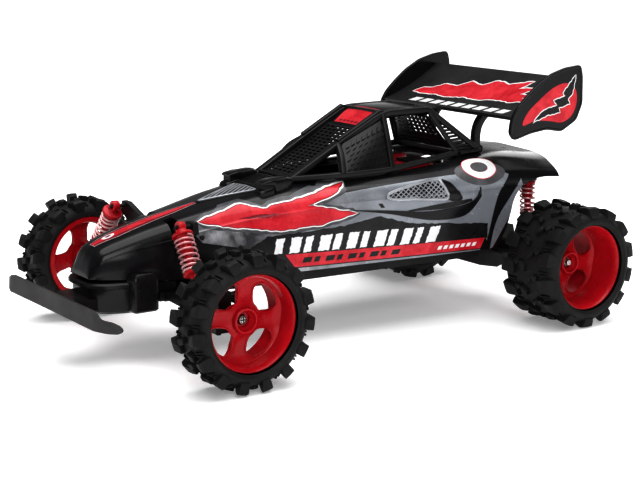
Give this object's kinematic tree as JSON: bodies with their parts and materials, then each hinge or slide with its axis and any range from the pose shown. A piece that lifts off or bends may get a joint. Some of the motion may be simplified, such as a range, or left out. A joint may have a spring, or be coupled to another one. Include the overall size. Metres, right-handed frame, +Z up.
{
  "type": "toy off-road buggy",
  "caption": "Radio-controlled off-road buggy: glossy body with open roll cage, rear wing, knobbly tyres, sprung suspension and steering.",
  "frame": {"origin": "on the ground under the middle of the car's length and width", "axes": "+Z up; -Y is the nose and +Y the tail; +X is the car's left side"},
  "size_m": [0.2176, 0.3504, 0.1587],
  "materials": {
    "gloss_body": "glossy moulded black plastic with printed livery",
    "satin_black": "satin moulded black plastic",
    "grey_bumper": "matt soft grey plastic",
    "silver_trim": "silver paint on moulded mesh",
    "red_plastic": "glossy red plastic",
    "tyre": "soft hollow rubber",
    "spring_wire": "pale red lacquered spring wire",
    "steel": "plain steel",
    "gear_plastic": "natural nylon",
    "circuit_board": "green laminate with parts",
    "battery_sleeve": "blue shrink sleeve"
  },
  "bodies": {
    "chassis": {"body_shell": "gloss_body", "chassis_tub": "satin_black", "front_bulkhead": "gloss_body", "front_bumper": "grey_bumper", "front_shock_tower": "satin_black", "rear_shock_tower": "satin_black", "gearbox_pivot_pin": "steel", "battery_pack": "battery_sleeve", "receiver_board": "circuit_board", "steering_servo": "satin_black", "cockpit_tray": "satin_black", "roll_cage": "satin_black", "windscreen_mesh": "satin_black", "side_mesh_left": "satin_black", "side_mesh_right": "satin_black", "hood_grille": "silver_trim", "cowl_scoops": "satin_black", "side_intake_left": "silver_trim", "side_intake_right": "silver_trim", "wing_blade": "gloss_body", "wing_endplate_left": "gloss_body", "wing_endplate_right": "gloss_body", "wing_bracket": "satin_black", "rear_window_mesh": "satin_black", "roof_panel": "gloss_body"},
    "battery_door": {"battery_door": "satin_black"},
    "power_switch": {"power_switch": "gear_plastic"},
    "tie_rod": {"tie_rod": "satin_black"},
    "steering_horn": {"steering_horn": "gear_plastic"},
    "gearbox": {"gearbox_case_left": "satin_black", "gearbox_case_right": "satin_black", "drive_motor": "steel"},
    "rear_axle": {"rear_axle": "steel", "axle_gear": "gear_plastic", "rear_left_rim": "red_plastic", "rear_left_tyre": "tyre", "rear_right_rim": "red_plastic", "rear_right_tyre": "tyre"},
    "compound_gear": {"compound_gear": "gear_plastic"},
    "motor_pinion": {"motor_pinion": "steel"},
    "front_left_arm": {"front_left_arm": "satin_black"},
    "front_left_knuckle": {"front_left_knuckle": "steel"},
    "front_left_wheel": {"front_left_rim": "red_plastic", "front_left_tyre": "tyre"},
    "front_left_shock_body": {"front_left_shock_body": "red_plastic", "front_left_spring": "spring_wire"},
    "front_left_shock_rod": {"front_left_shock_rod": "red_plastic"},
    "rear_left_shock_body": {"rear_left_shock_body": "red_plastic", "rear_left_spring": "spring_wire"},
    "rear_left_shock_rod": {"rear_left_shock_rod": "red_plastic"},
    "front_right_arm": {"front_right_arm": "satin_black"},
    "front_right_knuckle": {"front_right_knuckle": "steel"},
    "front_right_wheel": {"front_right_rim": "red_plastic", "front_right_tyre": "tyre"},
    "front_right_shock_body": {"front_right_shock_body": "red_plastic", "front_right_spring": "spring_wire"},
    "front_right_shock_rod": {"front_right_shock_rod": "red_plastic"},
    "rear_right_shock_body": {"rear_right_shock_body": "red_plastic", "rear_right_spring": "spring_wire"},
    "rear_right_shock_rod": {"rear_right_shock_rod": "red_plastic"}
  },
  "joints": [
    {"name": "front_left_suspension", "type": "hinge", "parent": "chassis", "child": "front_left_arm", "pos_m": [0.022, -0.10949, 0.036], "axis": [0, -1, 0], "range_deg": [0, 8], "stiffness_Nm_per_rad": 1.2, "springref_deg": -17.19},
    {"name": "steer_left", "type": "hinge", "parent": "front_left_arm", "child": "front_left_knuckle", "pos_m": [0.07, -0.10949, 0.03768], "axis": [0, 0, 1], "range_deg": [-22, 22], "stiffness_Nm_per_rad": 0.02},
    {"name": "front_left_wheel_spin", "type": "hinge", "parent": "front_left_knuckle", "child": "front_left_wheel", "pos_m": [0.095, -0.10949, 0.03768], "axis": [1, 0, 0], "continuous": true},
    {"name": "front_left_shock_swing", "type": "hinge", "parent": "chassis", "child": "front_left_shock_body", "pos_m": [0.0383, -0.11449, 0.078], "axis": [0, -1, 0], "range_deg": [0, 2.79]},
    {"name": "front_left_shock_stroke", "type": "slide", "parent": "front_left_shock_body", "child": "front_left_shock_rod", "axis": [-0.5855, 0.0432, 0.8095], "range_m": [0, 0.0057], "deforming": ["front_left_spring"]},
    {"name": "rear_left_shock_swing", "type": "hinge", "parent": "chassis", "child": "rear_left_shock_body", "pos_m": [0.04, 0.13951, 0.087], "axis": [1, 0, 0], "range_deg": [-4.61, 0]},
    {"name": "rear_left_shock_stroke", "type": "slide", "parent": "rear_left_shock_body", "child": "rear_left_shock_rod", "axis": [0, -0.0665, 0.9978], "range_m": [0, 0.0065], "deforming": ["rear_left_spring"]},
    {"name": "front_right_suspension", "type": "hinge", "parent": "chassis", "child": "front_right_arm", "pos_m": [-0.022, -0.10949, 0.036], "axis": [0, 1, 0], "range_deg": [0, 8], "stiffness_Nm_per_rad": 1.2, "springref_deg": -17.19},
    {"name": "steer_right", "type": "hinge", "parent": "front_right_arm", "child": "front_right_knuckle", "pos_m": [-0.07, -0.10949, 0.03768], "axis": [0, 0, 1], "range_deg": [-22, 22]},
    {"name": "front_right_wheel_spin", "type": "hinge", "parent": "front_right_knuckle", "child": "front_right_wheel", "pos_m": [-0.095, -0.10949, 0.03768], "axis": [1, 0, 0], "continuous": true},
    {"name": "front_right_shock_swing", "type": "hinge", "parent": "chassis", "child": "front_right_shock_body", "pos_m": [-0.0383, -0.11449, 0.078], "axis": [0, 1, 0], "range_deg": [0, 2.79]},
    {"name": "front_right_shock_stroke", "type": "slide", "parent": "front_right_shock_body", "child": "front_right_shock_rod", "axis": [0.5855, 0.0432, 0.8095], "range_m": [0, 0.0057], "deforming": ["front_right_spring"]},
    {"name": "rear_right_shock_swing", "type": "hinge", "parent": "chassis", "child": "rear_right_shock_body", "pos_m": [-0.04, 0.13951, 0.087], "axis": [1, 0, 0], "range_deg": [-4.61, 0]},
    {"name": "rear_right_shock_stroke", "type": "slide", "parent": "rear_right_shock_body", "child": "rear_right_shock_rod", "axis": [0, -0.0665, 0.9978], "range_m": [0, 0.0065], "deforming": ["rear_right_spring"]},
    {"name": "rear_suspension", "type": "hinge", "parent": "chassis", "child": "gearbox", "pos_m": [0, 0.09051, 0.042], "axis": [1, 0, 0], "range_deg": [0, 7], "stiffness_Nm_per_rad": 4, "springref_deg": -17.19},
    {"name": "rear_axle_spin", "type": "hinge", "parent": "gearbox", "child": "rear_axle", "pos_m": [0, 0.13751, 0.03768], "axis": [1, 0, 0], "continuous": true},
    {"name": "compound_gear_spin", "type": "hinge", "parent": "gearbox", "child": "compound_gear", "pos_m": [0, 0.12201, 0.04167], "axis": [1, 0, 0], "continuous": true},
    {"name": "motor_pinion_spin", "type": "hinge", "parent": "gearbox", "child": "motor_pinion", "pos_m": [0, 0.10651, 0.04568], "axis": [1, 0, 0], "continuous": true},
    {"name": "tie_rod_slide", "type": "slide", "parent": "chassis", "child": "tie_rod", "axis": [1, 0, 0], "range_m": [-0.0056, 0.0056]},
    {"name": "steering_horn_swing", "type": "hinge", "parent": "chassis", "child": "steering_horn", "pos_m": [0, -0.08349, 0.044], "axis": [0, 0, 1], "range_deg": [-26.5, 26.5]},
    {"name": "battery_door_hinge", "type": "hinge", "parent": "chassis", "child": "battery_door", "pos_m": [-0.016, -0.01149, 0.034], "axis": [0, 1, 0], "range_deg": [0, 75]},
    {"name": "power_switch_slide", "type": "slide", "parent": "chassis", "child": "power_switch", "axis": [0, 1, 0], "range_m": [0, 0.003]}
  ],
  "couplings": [
    {"joint": "front_left_shock_swing", "follows": "front_left_suspension", "ratio": 0.3118},
    {"joint": "front_left_shock_stroke", "follows": "front_left_suspension", "m_per_rad": 0.03836},
    {"joint": "rear_left_shock_swing", "follows": "rear_suspension", "ratio": -0.6162},
    {"joint": "rear_left_shock_stroke", "follows": "rear_suspension", "m_per_rad": 0.0505},
    {"joint": "front_right_shock_swing", "follows": "front_right_suspension", "ratio": 0.3118},
    {"joint": "front_right_shock_stroke", "follows": "front_right_suspension", "m_per_rad": 0.03836},
    {"joint": "rear_right_shock_swing", "follows": "rear_suspension", "ratio": -0.6162},
    {"joint": "rear_right_shock_stroke", "follows": "rear_suspension", "m_per_rad": 0.0505},
    {"joint": "compound_gear_spin", "follows": "rear_axle_spin", "ratio": -3},
    {"joint": "motor_pinion_spin", "follows": "rear_axle_spin", "ratio": 9},
    {"joint": "steer_right", "follows": "steer_left", "ratio": 1},
    {"joint": "tie_rod_slide", "follows": "steer_left", "m_per_rad": -0.0138},
    {"joint": "steering_horn_swing", "follows": "steer_left", "ratio": -1.17}
  ]
}
